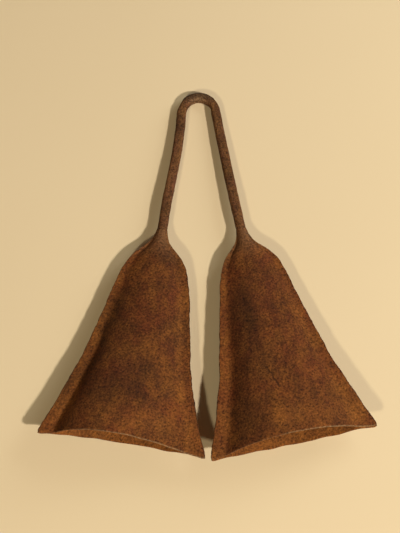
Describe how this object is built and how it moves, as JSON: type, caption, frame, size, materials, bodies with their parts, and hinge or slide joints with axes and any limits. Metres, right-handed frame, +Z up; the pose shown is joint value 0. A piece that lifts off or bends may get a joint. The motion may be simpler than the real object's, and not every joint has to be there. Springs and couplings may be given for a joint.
{
  "type": "agogo bell",
  "caption": "Forged iron hand percussion bell: flat flared bells of welded half plates side by side on a bent bar handle, held by the bar and struck with a stick.",
  "frame": {"origin": "on the table under the middle of the whole object's box, as it lies on its back", "axes": "+Y from the bells' mouths to the handle's arch, +X to the right bell, +Z up from the table"},
  "size_m": [0.3014, 0.3786, 0.039],
  "materials": {
    "bar_iron": "forged wrought iron with brown rust patina, worn by handling",
    "plate_iron": "hammered wrought iron sheet with red-brown rust patina"
  },
  "bodies": {
    "root": {"handle": "bar_iron", "left_bell_front": "plate_iron", "left_bell_back": "plate_iron", "right_bell_front": "plate_iron", "right_bell_back": "plate_iron"}
  },
  "joints": []
}
